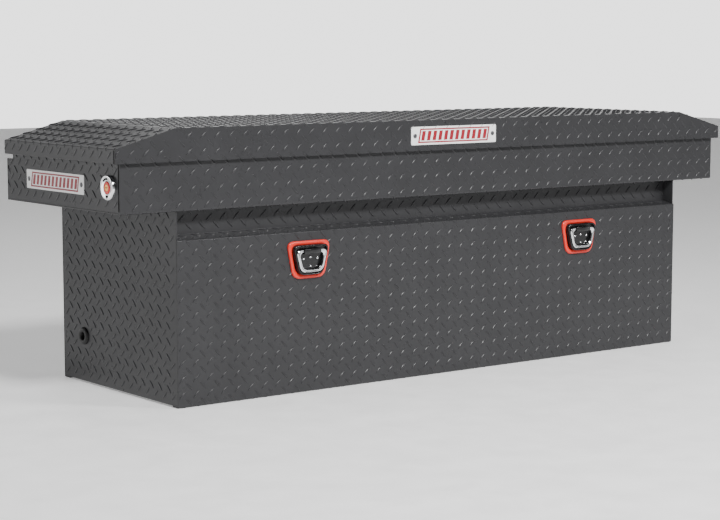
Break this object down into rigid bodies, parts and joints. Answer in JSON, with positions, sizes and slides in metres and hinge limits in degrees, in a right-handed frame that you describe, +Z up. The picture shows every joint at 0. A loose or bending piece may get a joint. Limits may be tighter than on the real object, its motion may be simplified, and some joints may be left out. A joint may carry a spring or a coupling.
{
  "type": "truck tool box",
  "caption": "Crossbed truck tool box: deep tread-plate tub under a wider saddle, rear-hinged lid on gas struts, push-button end locks, tie-down rings on raised mounts.",
  "frame": {"origin": "centre of the footprint, on the plane that the tub stands on", "axes": "+X along the box to its right end, +Y to the hinge side at the back, +Z up"},
  "size_m": [1.816, 0.5212, 0.599],
  "materials": {
    "tread_plate": "semi-gloss dark grey powder coat on aluminium tread plate",
    "liner_sheet": "satin dark grey powder coat on smooth sheet",
    "zinc_steel": "zinc plated",
    "chrome": "polished",
    "black_enamel": "semi-gloss black",
    "red_plastic": "satin moulded red",
    "name_plate": "white printed aluminium plate with a red border and no lettering",
    "key_brass": "satin",
    "rubber": "matt black"
  },
  "bodies": {
    "body": {"tub_front_panel": "tread_plate", "tub_rear_panel": "tread_plate", "tub_floor": "tread_plate", "tub_end_left": "tread_plate", "tub_end_right": "tread_plate", "saddle_front_panel": "tread_plate", "saddle_rear_panel": "tread_plate", "hinge_shelf": "tread_plate", "rear_upstand": "tread_plate", "saddle_end_left": "tread_plate", "saddle_end_right": "tread_plate", "wing_floor_left": "tread_plate", "wing_floor_right": "tread_plate", "rim_flange": "liner_sheet", "lid_seal": "rubber", "hinge_leaf_body": "zinc_steel", "hinge_pin": "zinc_steel", "strut_bracket_body_left": "zinc_steel", "strut_bracket_body_right": "zinc_steel", "lock_escutcheon_left": "chrome", "lock_escutcheon_right": "chrome", "lock_housing_left": "zinc_steel", "lock_housing_right": "zinc_steel", "latch_frame_left": "zinc_steel", "latch_frame_right": "zinc_steel", "tie_down_pan_left": "black_enamel", "tie_down_pan_right": "black_enamel", "tie_down_bezel_left": "red_plastic", "tie_down_bezel_right": "red_plastic", "grommet_left": "rubber", "grommet_right": "rubber", "name_plate_left": "name_plate", "name_plate_right": "name_plate"},
    "lid": {"lid_top": "tread_plate", "lid_end_left": "tread_plate", "lid_end_right": "tread_plate", "lid_skirt_front": "tread_plate", "lid_skirt_rear": "tread_plate", "lid_liner": "liner_sheet", "lid_rib_left": "zinc_steel", "lid_rib_right": "zinc_steel", "hinge_leaf_lid": "zinc_steel", "name_plate_front": "name_plate", "strut_bracket_lid_left": "zinc_steel", "strut_bracket_lid_right": "zinc_steel", "striker_left": "chrome", "striker_right": "chrome"},
    "strut_cylinder_left": {"strut_cylinder_left": "black_enamel"},
    "strut_cylinder_right": {"strut_cylinder_right": "black_enamel"},
    "strut_rod_left": {"strut_rod_left": "chrome"},
    "strut_rod_right": {"strut_rod_right": "chrome"},
    "lock_button_left": {"lock_button_left": "red_plastic"},
    "lock_button_right": {"lock_button_right": "red_plastic"},
    "lock_cylinder_left": {"lock_cylinder_left": "key_brass"},
    "lock_cylinder_right": {"lock_cylinder_right": "key_brass"},
    "latch_hook_left": {"latch_hook_left": "zinc_steel"},
    "latch_hook_right": {"latch_hook_right": "zinc_steel"},
    "tie_down_ring_left": {"tie_down_ring_left": "chrome"},
    "tie_down_ring_right": {"tie_down_ring_right": "chrome"}
  },
  "joints": [
    {"name": "lid_hinge", "type": "hinge", "parent": "body", "child": "lid", "pos_m": [0, 0.2428, 0.5228], "axis": [-1, 0, 0], "range_deg": [0, 75]},
    {"name": "strut_left_tilt", "type": "hinge", "parent": "body", "child": "strut_cylinder_left", "pos_m": [-0.848, 0.17, 0.44], "axis": [-1, 0, 0], "range_deg": [0, 69]},
    {"name": "strut_left_extend", "type": "slide", "parent": "strut_cylinder_left", "child": "strut_rod_left", "axis": [0, -0.9271, 0.3749], "range_m": [0, 0.131]},
    {"name": "strut_right_tilt", "type": "hinge", "parent": "body", "child": "strut_cylinder_right", "pos_m": [0.848, 0.17, 0.44], "axis": [-1, 0, 0], "range_deg": [0, 69]},
    {"name": "strut_right_extend", "type": "slide", "parent": "strut_cylinder_right", "child": "strut_rod_right", "axis": [0, -0.9271, 0.3749], "range_m": [0, 0.131]},
    {"name": "lock_button_left_press", "type": "slide", "parent": "body", "child": "lock_button_left", "axis": [1, 0, 0], "range_m": [0, 0.006], "stiffness_N_per_m": 600},
    {"name": "lock_cylinder_left_turn", "type": "hinge", "parent": "lock_button_left", "child": "lock_cylinder_left", "pos_m": [-0.892, -0.2047, 0.477], "axis": [-1, 0, 0], "range_deg": [0, 90]},
    {"name": "latch_hook_left_release", "type": "hinge", "parent": "body", "child": "latch_hook_left", "pos_m": [-0.846, -0.2047, 0.502], "axis": [0, -1, 0], "range_deg": [0, 14.5]},
    {"name": "tie_down_ring_left_swing", "type": "hinge", "parent": "body", "child": "tie_down_ring_left", "pos_m": [-0.414, -0.2587, 0.318], "axis": [-1, 0, 0], "range_deg": [0, 110]},
    {"name": "lock_button_right_press", "type": "slide", "parent": "body", "child": "lock_button_right", "axis": [-1, 0, 0], "range_m": [0, 0.006], "stiffness_N_per_m": 600},
    {"name": "lock_cylinder_right_turn", "type": "hinge", "parent": "lock_button_right", "child": "lock_cylinder_right", "pos_m": [0.892, -0.2047, 0.477], "axis": [1, 0, 0], "range_deg": [0, 90]},
    {"name": "latch_hook_right_release", "type": "hinge", "parent": "body", "child": "latch_hook_right", "pos_m": [0.846, -0.2047, 0.502], "axis": [0, 1, 0], "range_deg": [0, 14.5]},
    {"name": "tie_down_ring_right_swing", "type": "hinge", "parent": "body", "child": "tie_down_ring_right", "pos_m": [0.414, -0.2587, 0.318], "axis": [-1, 0, 0], "range_deg": [0, 110]}
  ],
  "couplings": [
    {"joint": "strut_left_tilt", "follows": "lid_hinge", "ratio": 0.91511},
    {"joint": "strut_left_extend", "follows": "lid_hinge", "m_per_rad": 0.099203},
    {"joint": "strut_right_tilt", "follows": "lid_hinge", "ratio": 0.91511},
    {"joint": "strut_right_extend", "follows": "lid_hinge", "m_per_rad": 0.099203},
    {"joint": "latch_hook_left_release", "follows": "lock_button_left_press", "rad_per_m": 41.67},
    {"joint": "latch_hook_right_release", "follows": "lock_button_right_press", "rad_per_m": 41.67}
  ]
}
